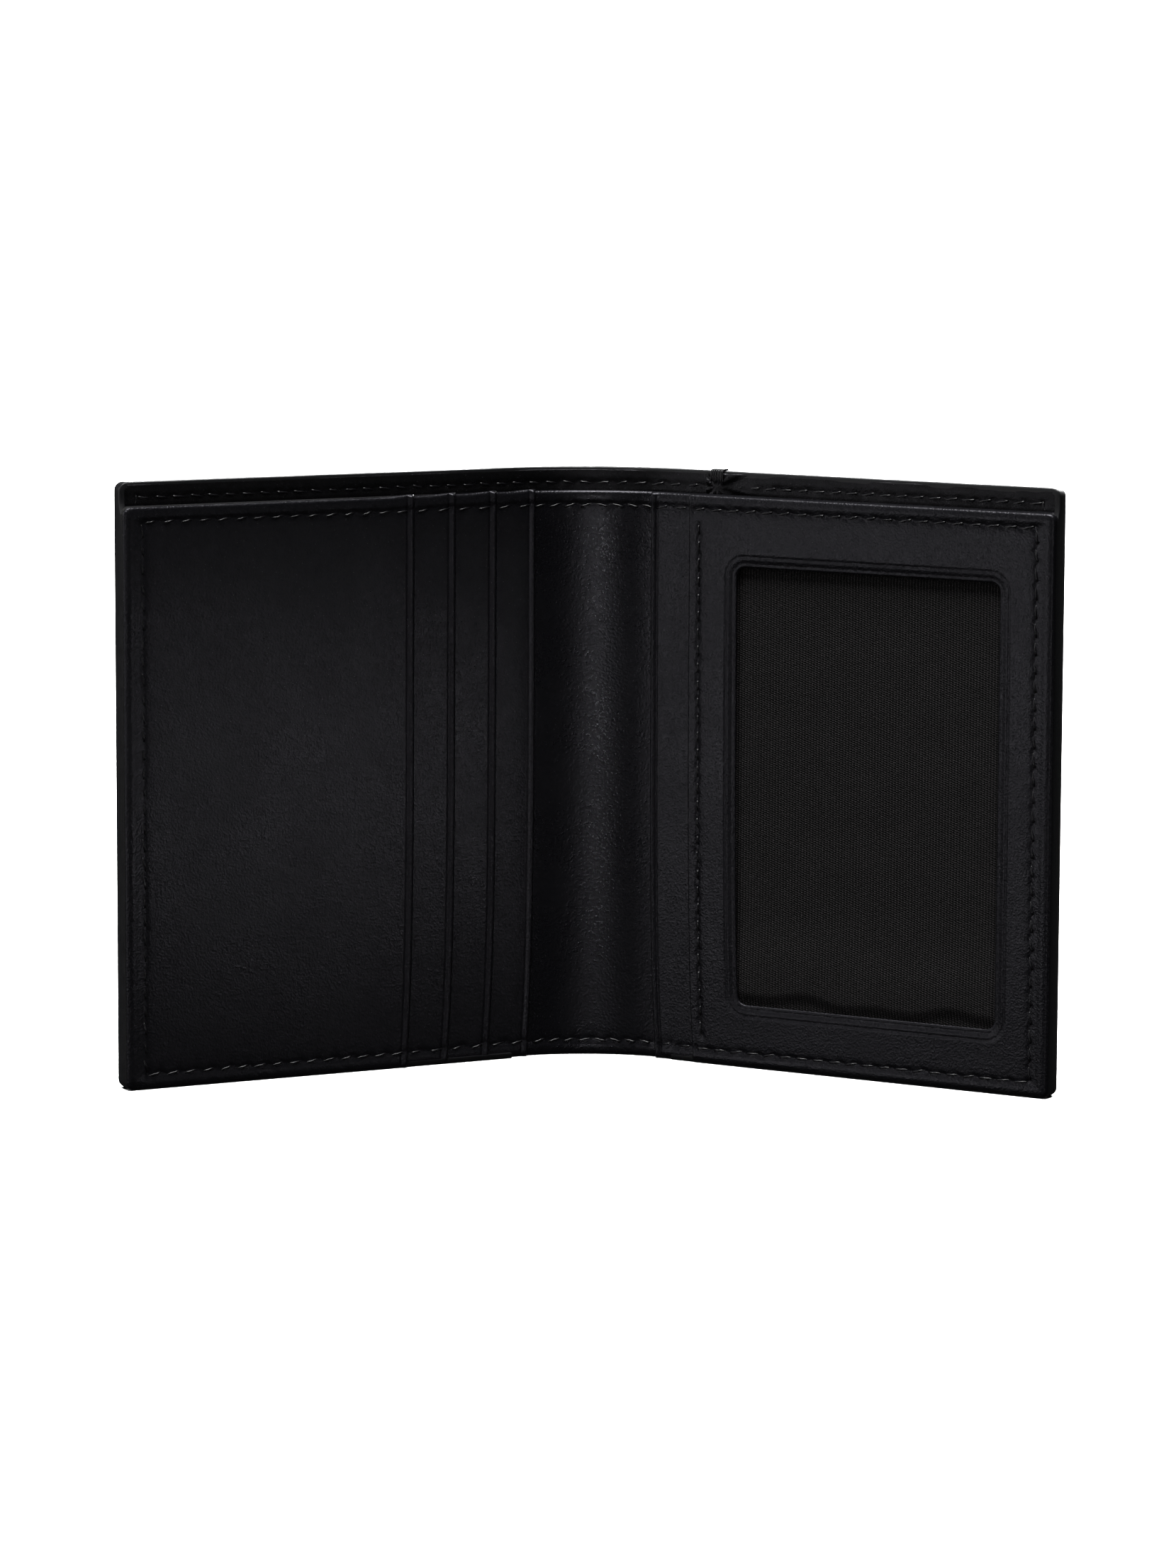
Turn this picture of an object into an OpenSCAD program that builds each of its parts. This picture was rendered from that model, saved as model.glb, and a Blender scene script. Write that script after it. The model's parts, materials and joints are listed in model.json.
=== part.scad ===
// Folding wallet in dark leather, standing open on its bottom edge.
// Two stiff halves hang from a soft spine strip. The left half holds four
// upright card pockets, the right half holds a card pocket with a window.
// Everything is measured in two directions: along a half, from its fold line
// to its outer edge, and through it, from the outside skin to the inside.

/* [Wallet] */
// Height of the outer shell
wallet_h = 100; // [94:0.5:108]
// Length of one half, from its fold line to its outer edge
half_len = 77.7; // [76.5:0.1:84]
// Distance between the two fold lines
spine_w = 16; // [14:0.5:20]
// Angle that each half is folded forward from flat
open_angle = 27.25; // [10:0.25:45]
// Radius of the outer corners
corner_r = 1.4; // [0.8:0.1:3]

/* [Shell layers] */
// Thickness of the outer leather
cover_t = 0.8; // [0.7:0.05:1]
// Thickness of the stiffener board
board_t = 0.3; // [0.2:0.05:0.4]
// Thickness of the smooth lining leather
lining_t = 0.4; // [0.3:0.05:0.5]
// Height of the painted bead along the shell's top edge
bead_h = 0.4; // [0.3:0.05:0.5]

/* [Inside layers] */
// How far the inside stops below the top of the shell
mouth_drop = 3.9; // [3:0.1:6]
// Gap of the banknote compartment, and thickness of its edge fillers
bill_gap = 0.5; // [0.3:0.05:0.8]
// Width of the edge fillers
filler_w = 4.5; // [3:0.1:6]
// Thickness of the divider fabric
divider_t = 0.2; // [0.15:0.05:0.3]
// Thickness of the base leather
base_t = 0.5; // [0.4:0.05:0.6]

/* [Card pockets] */
// First pocket edge on the left half, from the fold line
pocket_first = 3.3; // [2.9:0.1:5]
// Step from one pocket edge to the next
pocket_step = 7.7; // [7:0.1:8.5]
// Thickness of a pocket facing
facing_t = 0.4; // [0.3:0.05:0.5]
// Width of a leather facing before its fabric begins
facing_w = 18; // [14:0.5:24]
// Thickness of the front pocket
front_t = 0.5; // [0.4:0.05:0.7]

/* [Window pocket] */
// Edge of the window pocket on the right half, from the fold line
id_first = 3.3; // [2.9:0.1:6]
// Edge of the window frame, from the fold line
frame_first = 11.2; // [10:0.1:15]
// Left side of the window, from the fold line
window_u = 20.1; // [19:0.1:24]
// Width of the window
window_w = 47.8; // [40:0.1:50]
// Bottom of the window
window_z = 10.6; // [9:0.1:14]
// Height of the window
window_h = 73.7; // [70:0.1:78]
// Radius of the window's corners
window_r = 1.6; // [1:0.1:3]
// Thickness of the ribbed fabric behind the window
backing_t = 0.3; // [0.2:0.05:0.4]
// Thickness of the pocket front and of the window frame, each
frame_t = 0.6; // [0.5:0.05:0.8]

/* [Stitching] */
// Distance from one stitch to the next
stitch_pitch = 3.08; // [2.8:0.02:3.4]
// Visible length of one stitch
stitch_len = 2.2; // [1.8:0.1:2.4]
// Thread diameter
thread_d = 0.4; // [0.3:0.05:0.5]
// Distance from the bottom and top edges to the seam
seam_in = 2.5; // [2:0.1:3.2]
// Distance from the outer edges to the seam
side_seam_in = 3.3; // [2.5:0.1:4]
// Distance from the shell's top edge to its seam
shell_seam_in = 2.7; // [2:0.1:3.2]
// Distance from the window frame's edge to its seam
frame_seam_in = 1.9; // [1.4:0.1:3]
// Number of turns in the bar tack
tack_turns = 5; // [3:1:6]
// Place of the bar tack on the right half, from the fold line
tack_u = 15; // [14:0.5:18]

/* [Hidden] */
$fn = 32;

// Depths through a half, counted from the outside skin.
axis_w = cover_t / 2;
board_w = cover_t;
lining_w = board_w + board_t;
shell_w = lining_w + lining_t;
divider_w = shell_w + bill_gap;
base_w = divider_w + divider_t;
inside_w = base_w + base_t;
pocket_3_w = inside_w + facing_t;
pocket_2_w = pocket_3_w + facing_t;
front_w = pocket_2_w + facing_t;
left_top_w = front_w + front_t;
id_front_w = inside_w + backing_t;
id_frame_w = id_front_w + frame_t;
right_top_w = id_frame_w + frame_t;

// Gaps that let a half turn on its fold line without touching the spine.
cover_gap = 0.5;
layer_gap = inside_w - axis_w + 0.5;

// Heights, and the places of the pocket edges along the left half.
core_top = wallet_h - bead_h;
inside_top = wallet_h - mouth_drop;
pocket_u = [for (i = [0:3]) pocket_first + i * pocket_step];
seam_u = half_len - side_seam_in;
shell_seam_z = wallet_h - shell_seam_in;
bead_r = 1;
lap = 2;

// The fold lines lie behind the middle of the wallet, so that the origin is
// under the centre of the whole.
front_reach = half_len * sin(open_angle)
    + (left_top_w - axis_w) * cos(open_angle);
axis_y = (front_reach - axis_w) / 2;

black = [0.06, 0.06, 0.08];
smooth_black = [0.07, 0.07, 0.07];
cloth_black = [0.1, 0.09, 0.09];
board_grey = [0.4, 0.38, 0.36];
paint_grey = [0.2, 0.2, 0.22];
thread_black = [0.12, 0.12, 0.14];

// A half's own frame: X runs from the fold line to the outer edge, and -Y
// runs from the outside skin to the inside.
module right_half() {
    translate([spine_w / 2, axis_y, 0]) rotate([0, 0, -open_angle])
        children();
}

module left_half() {
    mirror([1, 0, 0]) right_half() children();
}

module spine() {
    translate([0, axis_y, 0]) children();
}

// Stands a flat outline up, at depth w, with thickness t.
module upright(w, t) {
    translate([0, axis_w - w, 0]) rotate([90, 0, 0]) linear_extrude(t)
        children();
}

// Outline of a layer whose two outer corners are round.
module layer_outline(u0, u1, z0, z1, r = corner_r) {
    translate([u0, z0]) square([u1 - r - u0, z1 - z0]);
    translate([u1 - r, z0 + r]) square([r, z1 - z0 - 2 * r]);
    translate([u1 - r, z0 + r]) circle(r);
    translate([u1 - r, z1 - r]) circle(r);
}

module window_outline(grow) {
    r = window_r + grow;
    u0 = window_u - grow;
    z0 = window_z - grow;
    w = window_w + 2 * grow;
    h = window_h + 2 * grow;
    translate([u0 + r, z0]) square([w - 2 * r, h]);
    translate([u0, z0 + r]) square([w, h - 2 * r]);
    for (u = [u0 + r, u0 + w - r], z = [z0 + r, z0 + h - r])
        translate([u, z]) circle(r);
}

// A layer with round outer corners that reaches the outer edge.
module outer_layer(w, t, u0, z1, z0 = 0) {
    upright(w, t) layer_outline(u0, half_len, z0, z1);
}

// A plain strip from u0 to u1.
module strip(w, t, u0, u1, z0, z1) {
    upright(w, t) translate([u0, z0]) square([u1 - u0, z1 - z0]);
}

// The painted bead that caps the shell's top edge from u0 to u1.
module edge_bead(u0, u1) {
    translate([u0, 0, 0]) rotate([90, 0, 90]) linear_extrude(u1 - u0)
        intersection() {
            translate([axis_w - shell_w, core_top])
                square([shell_w, bead_h]);
            translate([axis_w - shell_w / 2, wallet_h - bead_r])
                circle(bead_r);
        }
}

// One stitch lying on the face at depth w, along the half or upright.
module stitch(u, z, w, standing) {
    lift = thread_d / 2 + 0.01;
    translate([u, axis_w - w - lift, z])
        rotate(standing ? [0, 0, 0] : [0, 90, 0])
            cylinder(h = stitch_len, d = thread_d, center = true, $fn = 16);
}

function stitch_count(length) = floor(length / stitch_pitch);

module stitch_row(u0, u1, z, w) {
    n = stitch_count(u1 - u0);
    for (i = [0:n - 1])
        stitch(u0 + (i + 0.5) * (u1 - u0) / n, z, w, false);
}

module stitch_column(u, z0, z1, w) {
    n = stitch_count(z1 - z0);
    for (i = [0:n - 1])
        stitch(u, z0 + (i + 0.5) * (z1 - z0) / n, w, true);
}

// Left half, from the outside in.
module cover_left() {
    color(black) left_half() outer_layer(0, cover_t, cover_gap, core_top);
}

module board_left() {
    color(board_grey) left_half()
        outer_layer(board_w, board_t, layer_gap, core_top);
}

module lining_left() {
    color(smooth_black) left_half()
        outer_layer(lining_w, lining_t, layer_gap, core_top);
}

module bottom_filler() {
    strip(shell_w, bill_gap, layer_gap, half_len - filler_w, 0, filler_w);
}

module side_filler() {
    translate([0, axis_w - shell_w, 0]) rotate([90, 0, 0])
        linear_extrude(bill_gap)
            layer_outline(half_len - filler_w, half_len, 0, inside_top);
}

module bottom_filler_left() {
    color(black) left_half() bottom_filler();
}

module side_filler_left() {
    color(black) left_half() side_filler();
}

module divider_left() {
    color(cloth_black) left_half()
        outer_layer(divider_w, divider_t, layer_gap, inside_top);
}

module base_left() {
    color(black) left_half()
        outer_layer(base_w, base_t, layer_gap, inside_top);
}

// A pocket is a leather facing that goes on as fabric under the next one.
module pocket_facing(w, u0) {
    strip(w, facing_t, u0, u0 + facing_w, 0, inside_top);
}

module pocket_fabric(w, u0) {
    outer_layer(w, facing_t, u0 + facing_w, inside_top);
}

module pocket_facing_4() {
    color(black) left_half() pocket_facing(inside_w, pocket_u[0]);
}

module pocket_fabric_4() {
    color(cloth_black) left_half() pocket_fabric(inside_w, pocket_u[0]);
}

module pocket_facing_3() {
    color(black) left_half() pocket_facing(pocket_3_w, pocket_u[1]);
}

module pocket_fabric_3() {
    color(cloth_black) left_half() pocket_fabric(pocket_3_w, pocket_u[1]);
}

module pocket_facing_2() {
    color(black) left_half() pocket_facing(pocket_2_w, pocket_u[2]);
}

module pocket_fabric_2() {
    color(cloth_black) left_half() pocket_fabric(pocket_2_w, pocket_u[2]);
}

module pocket_front() {
    color(black) left_half()
        outer_layer(front_w, front_t, pocket_u[3], inside_top);
}

module edge_bead_left() {
    color(paint_grey) left_half()
        edge_bead(layer_gap, half_len - corner_r);
}

// The seam round the card pockets steps down from pocket to pocket.
module seam_pockets() {
    steps = [
        [layer_gap, pocket_u[0], inside_w],
        [pocket_u[0], pocket_u[1], pocket_3_w],
        [pocket_u[1], pocket_u[2], pocket_2_w],
        [pocket_u[2], pocket_u[3], front_w],
        [pocket_u[3], seam_u, left_top_w]];
    color(thread_black) left_half() {
        for (s = steps, z = [seam_in, inside_top - seam_in])
            if (stitch_count(s[1] - s[0]) > 0)
                stitch_row(s[0], s[1], z, s[2]);
        stitch_column(seam_u, seam_in, inside_top - seam_in, left_top_w);
    }
}

module seam_shell_left() {
    color(thread_black) left_half()
        stitch_row(layer_gap, seam_u, shell_seam_z, shell_w);
}

// Spine, from the outside in.
module spine_strip(w, t, z0, z1) {
    half_w = spine_w / 2 - cover_gap;
    spine() strip(w, t, -half_w, half_w, z0, z1);
}

module cover_spine() {
    color(black) spine_strip(0, cover_t, 0, core_top);
}

module spine_tape() {
    color(cloth_black) spine_strip(board_w, board_t, 0, core_top);
}

module lining_spine() {
    color(smooth_black) spine_strip(lining_w, lining_t, 0, core_top);
}

module bottom_filler_spine() {
    color(black) spine_strip(shell_w, bill_gap, 0, filler_w);
}

module divider_spine() {
    color(cloth_black) spine_strip(divider_w, divider_t, 0, inside_top);
}

module base_spine() {
    color(black) spine_strip(base_w, base_t, 0, inside_top);
}

module edge_bead_spine() {
    half_w = spine_w / 2 - cover_gap;
    color(paint_grey) spine() edge_bead(-half_w, half_w);
}

module seam_spine() {
    half_w = spine_w / 2 - cover_gap;
    color(thread_black) spine() {
        stitch_row(-half_w, half_w, seam_in, inside_w);
        stitch_row(-half_w, half_w, inside_top - seam_in, inside_w);
        stitch_row(-half_w, half_w, shell_seam_z, shell_w);
    }
}

// Right half, from the outside in.
module cover_right() {
    color(black) right_half() outer_layer(0, cover_t, cover_gap, core_top);
}

module board_right() {
    color(board_grey) right_half()
        outer_layer(board_w, board_t, layer_gap, core_top);
}

// The left lining crosses the spine and ends here, under the right lining.
module lining_joint() {
    color(smooth_black) right_half()
        strip(lining_w, lining_t, layer_gap, tack_u, 0, core_top);
}

module lining_right() {
    color(smooth_black) right_half() {
        outer_layer(lining_w, lining_t, tack_u, core_top);
        strip(shell_w, lining_t, tack_u - lap, tack_u + lap,
            filler_w + 1, core_top - bead_h);
    }
}

module bottom_filler_right() {
    color(black) right_half() bottom_filler();
}

module side_filler_right() {
    color(black) right_half() side_filler();
}

module divider_right() {
    color(cloth_black) right_half()
        outer_layer(divider_w, divider_t, layer_gap, inside_top);
}

module base_right() {
    color(black) right_half()
        outer_layer(base_w, base_t, layer_gap, inside_top);
}

module window_backing() {
    color(cloth_black) right_half()
        outer_layer(inside_w, backing_t, id_first + 1, inside_top);
}

// The pocket front and the frame share one window, wider in the front.
module windowed_layer(w, u0, grow) {
    upright(w, frame_t) difference() {
        layer_outline(u0, half_len, 0, inside_top);
        window_outline(grow);
    }
}

module id_pocket_front() {
    color(black) right_half() windowed_layer(id_front_w, id_first, 1.5);
}

module id_frame() {
    color(black) right_half() windowed_layer(id_frame_w, frame_first, 0);
}

// Turns of thread over the shell's top edge, at the end of the lining joint.
module bar_tack() {
    reach = thread_d / 2 + 0.01;
    leg_h = 3;
    back = axis_w + reach;
    front = axis_w - shell_w - lining_t - reach;
    top = wallet_h + reach;
    color(thread_black) right_half() for (i = [0:tack_turns - 1])
        translate([tack_u + (i - (tack_turns - 1) / 2) * thread_d * 1.3, 0, 0]) {
            for (y = [back, front])
                translate([0, y, top - leg_h])
                    cylinder(h = leg_h, d = thread_d, $fn = 16);
            translate([0, back, top]) rotate([90, 0, 0])
                cylinder(h = back - front, d = thread_d, $fn = 16);
            for (y = [back, front])
                translate([0, y, top]) sphere(d = thread_d, $fn = 16);
        }
}

module edge_bead_right() {
    color(paint_grey) right_half()
        edge_bead(layer_gap, half_len - corner_r);
}

module seam_right() {
    color(thread_black) right_half() {
        for (z = [seam_in, inside_top - seam_in]) {
            stitch_row(id_first, frame_first, z, id_frame_w);
            stitch_row(frame_first, seam_u, z, right_top_w);
        }
        stitch_column(seam_u, seam_in, inside_top - seam_in, right_top_w);
    }
}

module seam_id_frame() {
    color(thread_black) right_half()
        stitch_column(frame_first + frame_seam_in, 2 * seam_in,
            inside_top - 2 * seam_in, right_top_w);
}

module seam_shell_right() {
    color(thread_black) right_half() {
        stitch_row(layer_gap, tack_u - lap, shell_seam_z, shell_w);
        stitch_row(tack_u + lap, seam_u, shell_seam_z, shell_w);
    }
}

cover_left();
board_left();
lining_left();
bottom_filler_left();
side_filler_left();
divider_left();
base_left();
pocket_facing_4();
pocket_fabric_4();
pocket_facing_3();
pocket_fabric_3();
pocket_facing_2();
pocket_fabric_2();
pocket_front();
edge_bead_left();
seam_pockets();
seam_shell_left();
cover_spine();
spine_tape();
lining_spine();
bottom_filler_spine();
divider_spine();
base_spine();
edge_bead_spine();
seam_spine();
cover_right();
board_right();
lining_joint();
lining_right();
bottom_filler_right();
side_filler_right();
divider_right();
base_right();
window_backing();
id_pocket_front();
id_frame();
bar_tack();
edge_bead_right();
seam_right();
seam_id_frame();
seam_shell_right();
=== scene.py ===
import json
import math

import bmesh
import bpy
import numpy as np
from mathutils import Matrix, Vector


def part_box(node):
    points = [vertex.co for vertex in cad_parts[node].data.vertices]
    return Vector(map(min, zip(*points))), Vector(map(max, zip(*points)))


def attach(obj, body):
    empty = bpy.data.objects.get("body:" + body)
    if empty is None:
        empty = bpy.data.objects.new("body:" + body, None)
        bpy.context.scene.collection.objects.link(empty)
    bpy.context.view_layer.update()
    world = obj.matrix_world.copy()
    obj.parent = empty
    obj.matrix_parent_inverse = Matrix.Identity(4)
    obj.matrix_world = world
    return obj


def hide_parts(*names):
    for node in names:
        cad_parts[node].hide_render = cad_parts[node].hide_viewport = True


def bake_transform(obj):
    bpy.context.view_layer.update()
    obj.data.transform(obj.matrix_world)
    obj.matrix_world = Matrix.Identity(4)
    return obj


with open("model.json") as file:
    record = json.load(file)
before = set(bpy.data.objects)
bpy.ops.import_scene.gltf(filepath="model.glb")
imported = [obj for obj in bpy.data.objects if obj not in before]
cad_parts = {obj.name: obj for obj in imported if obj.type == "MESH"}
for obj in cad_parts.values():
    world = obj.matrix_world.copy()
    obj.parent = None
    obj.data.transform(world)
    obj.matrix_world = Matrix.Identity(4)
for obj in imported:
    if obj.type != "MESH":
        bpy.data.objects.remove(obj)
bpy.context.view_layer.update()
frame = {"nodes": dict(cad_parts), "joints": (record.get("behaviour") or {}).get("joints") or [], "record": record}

# Lengths below are in millimetres, and MM turns them into the frame's metres.
MM = 0.001
LEFT, RIGHT = -1, 1
HALF = {LEFT: "left_half", RIGHT: "right_half"}
rng = np.random.default_rng(7)


# ---------------------------------------------------------------- the frame
# A place on the wallet has three numbers: s, the way along it from the middle
# of the spine, w, the depth from the outside skin, and z, the height.

joints = {j["name"]: j for j in frame["joints"]}
FOLD = math.radians(-joints["right_fold"]["range_deg"][0])
HINGE_X = joints["right_fold"]["pos_m"][0] / MM
AXIS_Y = joints["right_fold"]["pos_m"][1] / MM
spine_low, spine_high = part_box("cover_spine")
AXIS_W = (spine_high.y - spine_low.y) / 2 / MM

# The spine is one round bend that meets both halves' straight lines.
BEND_LEN = 2 * HINGE_X
BEND_R = HINGE_X / math.tan(FOLD / 2)


def unfolded(node):
    """The s, w and z of a CAD node's vertices."""
    corners = np.array([v.co for v in frame["nodes"][node].data.vertices]) / MM
    if node in frame["record"]["behaviour"]["bodies"]["spine"]:
        s, w = np.abs(corners[:, 0]), AXIS_Y + AXIS_W - corners[:, 1]
    else:
        dx, dy = np.abs(corners[:, 0]) - HINGE_X, corners[:, 1] - AXIS_Y
        s = HINGE_X + dx * math.cos(FOLD) - dy * math.sin(FOLD)
        w = AXIS_W - dx * math.sin(FOLD) - dy * math.cos(FOLD)
    return s, w, corners[:, 2]


def span(node):
    """How far a CAD node reaches along s, w and z."""
    return {name: (v.min(), v.max()) for name, v in zip("swz", unfolded(node))}


def place(side, s, w, z):
    """Points in the frame, in metres, of places on one side of the spine."""
    s, w, z = np.broadcast_arrays(*(np.asarray(v, float) for v in (s, w, z)))
    a = FOLD * np.clip(s / BEND_LEN, 0, 1)
    straight = np.maximum(s - BEND_LEN, 0)
    inward = w - AXIS_W
    x = BEND_R * np.sin(a) + straight * np.cos(a) - inward * np.sin(a)
    y = -BEND_R * (1 - np.cos(a)) - straight * np.sin(a) - inward * np.cos(a)
    return np.stack([side * x, AXIS_Y + y, z], -1) * MM


LAYER = {n: span(n) for n in frame["nodes"]}
OUTER = LAYER["cover_right"]["s"][1]
SHELL_TOP = LAYER["edge_bead_right"]["z"][1]
CORE_TOP = LAYER["cover_right"]["z"][1]
SHELL_W = LAYER["lining_left"]["w"][1]
INSIDE_TOP = LAYER["base_right"]["z"][1]
CORNER_R = 1.4

# No layer gets thinner than this, however its edge is rounded.
LEAST_T = 0.03

# Two places along s, from the spine's middle, that span each fold. Inside, the second is where the pockets start.
BEND_START, BEND_END = 1.5, 14.0
INSIDE_BEND_END = LAYER["pocket_facing_4"]["s"][0]

# The window cloth's ribs, and the beads along each rib.
RIB, RIB_BEAD = 0.54, 0.38


def place_panel(side, s, w, z):
    """As place, for the inside panels.

    Near the spine these lie further out at the bottom, and a little further in at the top.
    """
    s, w, z = np.broadcast_arrays(*(np.asarray(v, float) for v in (s, w, z)))
    drift = 1.5 * np.exp(-z / 17.0) - 0.38
    share = np.clip((OUTER - 9.5 - s) / 44.0, 0, 1)
    return place(side, s + drift * share, w, z)


# ------------------------------------------------------------------- meshes


def make_object(name, points, faces, material, sharp=50):
    """A closed mesh piece with smooth faces and sharp edges past an angle.

    Faces have four corners, and one that names its third corner twice is a triangle.
    """
    corners = [f[:3] if f[2] == f[3] else f for f in faces.tolist()]
    mesh = bpy.data.meshes.new(name)
    mesh.from_pydata(points.tolist(), [], corners)
    work = bmesh.new()
    work.from_mesh(mesh)
    bmesh.ops.recalc_face_normals(work, faces=work.faces)
    work.to_mesh(mesh)
    work.free()
    mesh.polygons.foreach_set("use_smooth", np.ones(len(mesh.polygons), bool))
    if sharp:
        mesh.set_sharp_from_angle(angle=math.radians(sharp))
    mesh.materials.append(material)
    piece = bpy.data.objects.new(name, mesh)
    bpy.context.scene.collection.objects.link(piece)
    return piece


def settle(piece, side, bend_end=None, stands_for=()):
    """Puts a piece on its half, or, for a piece that crosses the spine, bakes it where it lies."""
    if stands_for:
        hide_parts(*stands_for)
    if bend_end is None:
        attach(piece, HALF[side])
    else:
        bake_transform(piece)
    return piece


def grid_faces(rows, columns):
    """Quads of a grid whose vertices are numbered row by row."""
    i, j = np.meshgrid(np.arange(rows - 1), np.arange(columns - 1), indexing="ij")
    a = (i * columns + j).ravel()
    return np.stack([a, a + 1, a + columns + 1, a + columns], -1)


def band_faces(a, b):
    """Quads between two closed loops of vertex numbers."""
    return np.stack([a, np.roll(a, -1), np.roll(b, -1), b], -1)


def border_loop(rows, columns):
    """Vertex numbers round the border of such a grid."""
    index = np.arange(rows * columns).reshape(rows, columns)
    return np.concatenate(
        [index[0, :-1], index[:-1, -1], index[-1, :0:-1], index[:0:-1, 0]]
    )


def closed_mesh(front, back):
    """Points and faces of the solid between two grids of points."""
    rows, columns = front.shape[:2]
    count = rows * columns
    faces = grid_faces(rows, columns)
    loop = border_loop(rows, columns)
    return (
        np.concatenate([front.reshape(-1, 3), back.reshape(-1, 3)]),
        np.concatenate([faces, faces[:, ::-1] + count, band_faces(loop, loop + count)]),
    )


def spaced(a, b, step, fine=(), fine_step=0.3):
    """Places from a to b, closer together within the fine stretches."""
    points = [a, b, *np.linspace(a, b, max(2, round((b - a) / step) + 1))]
    for low, high in fine:
        low, high = max(low, a), min(high, b)
        if high > low:
            points += list(np.linspace(low, high, round((high - low) / fine_step) + 2))
    points = np.unique(np.round(points, 3))
    keep = np.concatenate([[True], np.diff(points) > 0.45 * fine_step])
    keep[-1] = True
    return points[keep]


def edge_steps(edge, sign, r=0.6):
    """Places that a round edge needs, from the edge inwards."""
    return [edge + sign * r * k for k in (0, 0.04, 0.15, 0.35, 0.65, 1)]


class Outline:
    """A layer's outline: open at the spine, round at the two outer corners."""

    def __init__(self, s0, s1, z0, z1, corner=CORNER_R, rise=0.0):
        self.s0, self.s1, self.z0, self.z1 = s0, s1, z0, z1
        self.corner, self.rise = corner, rise

    def lifted(self, s):
        """How much higher the top edge is towards the spine."""
        return self.rise * (1 - smooth((s - self.s0) / 6.0))

    def trimmed(self, s):
        """Lowest and highest z at s, where the corners are round."""
        past = np.clip(s - (self.s1 - self.corner), 0, self.corner)
        lost = self.corner - np.sqrt(self.corner**2 - past**2)
        return self.z0 + lost, self.z1 - lost + self.lifted(s)

    def inset(self, s, z):
        """Distance from the bottom, outer and top edges."""
        half = (self.z1 - self.z0) / 2
        z = z - self.lifted(s) * smooth((z - self.z0) / half - 1)
        off = np.abs(z - (self.z0 + half))
        qs, qz = s - (self.s1 - self.corner), off - (half - self.corner)
        round_part = self.corner - np.hypot(qs, qz)
        straight = np.minimum(self.s1 - s, half - off) if self.corner > 0.1 else half - off
        return np.where((qs > 0) & (qz > 0) & (self.corner > 0.1), round_part, straight)


def slab_mesh(outline, s_line, z_line, front, back, side, where=place):
    """Points and faces of a thin closed layer between two relief functions."""
    s_grid, t_grid = np.meshgrid(s_line, z_line, indexing="ij")
    t_grid = (t_grid - outline.z0) / (outline.z1 - outline.z0)
    low, high = outline.trimmed(s_grid)
    z_grid = low + t_grid * (high - low)
    return closed_mesh(*(
        where(side, s_grid, relief(s_grid, z_grid), z_grid) for relief in (front, back)
    ))


# -------------------------------------------------------------------- relief


def rounded(d, r):
    """Fall of a surface towards an edge that is rounded to radius r."""
    d = np.clip(d, 0, r)
    return r - np.sqrt(np.clip(r * r - (r - d) ** 2, 0, None))


def smooth(t):
    """A soft step from 0 to 1."""
    t = np.clip(t, 0, 1)
    return t * t * (3 - 2 * t)


def bell(x, width):
    """A round bump of height 1 at x = 0."""
    return np.exp(-((x / width) ** 2))


def soft_waves(seed, amount, longest=60.0):
    """A gentle unevenness of the leather, as a function of s and z."""
    waves = np.random.default_rng(seed)
    parts = []
    for _ in range(9):
        angle = waves.uniform(0, math.pi)
        length = longest * waves.uniform(0.25, 1.0)
        parts.append((
            math.cos(angle) * 2 * math.pi / length,
            math.sin(angle) * 2 * math.pi / length,
            waves.uniform(0, 2 * math.pi),
            length / longest,
        ))

    def relief(s, z):
        total = sum(
            share * np.sin(ks * s + kz * z + phase) for ks, kz, phase, share in parts
        )
        return amount * total / 3

    return relief


class Seam:
    """A row of stitches: each runs between two holes, at a slant."""

    def __init__(self, start, end, pitch=3.08, length=2.3, slant=0.28):
        start, end = np.array(start, float), np.array(end, float)
        reach = np.linalg.norm(end - start)
        count = max(1, round(reach / pitch))
        along = (end - start) / reach
        across = np.array([-along[1], along[0]])
        middles = [start + along * reach * (k + 0.5) / count for k in range(count)]
        jitter = rng.normal(0, 0.07, (count, 2))
        self.stitches = np.array([
            (m - along * length / 2 - across * slant / 2 + j,
             m + along * length / 2 + across * slant / 2 - j)
            for m, j in zip(middles, jitter)
        ])

    def dent(self, s, z):
        """How the thread pulls the leather down, as a negative relief."""
        total = np.zeros_like(s)
        points = np.stack([s, z], -1)
        for a, b in self.stitches:
            near = (
                (s > min(a[0], b[0]) - 2) & (s < max(a[0], b[0]) + 2)
                & (z > min(a[1], b[1]) - 2) & (z < max(a[1], b[1]) + 2)
            )
            if not near.any():
                continue
            close = points[near]
            t = np.clip((close - a) @ (b - a) / ((b - a) @ (b - a)), 0, 1)
            off = np.linalg.norm(close - a - t[:, None] * (b - a), axis=1)
            holes = sum(bell(np.linalg.norm(close - end, axis=1), 0.38) for end in (a, b))
            pull = -0.04 * bell(off, 0.34) - 0.14 * holes - 0.04 * bell(off, 0.9)
            total[near] = np.minimum(total[near], pull)
        return total


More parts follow.
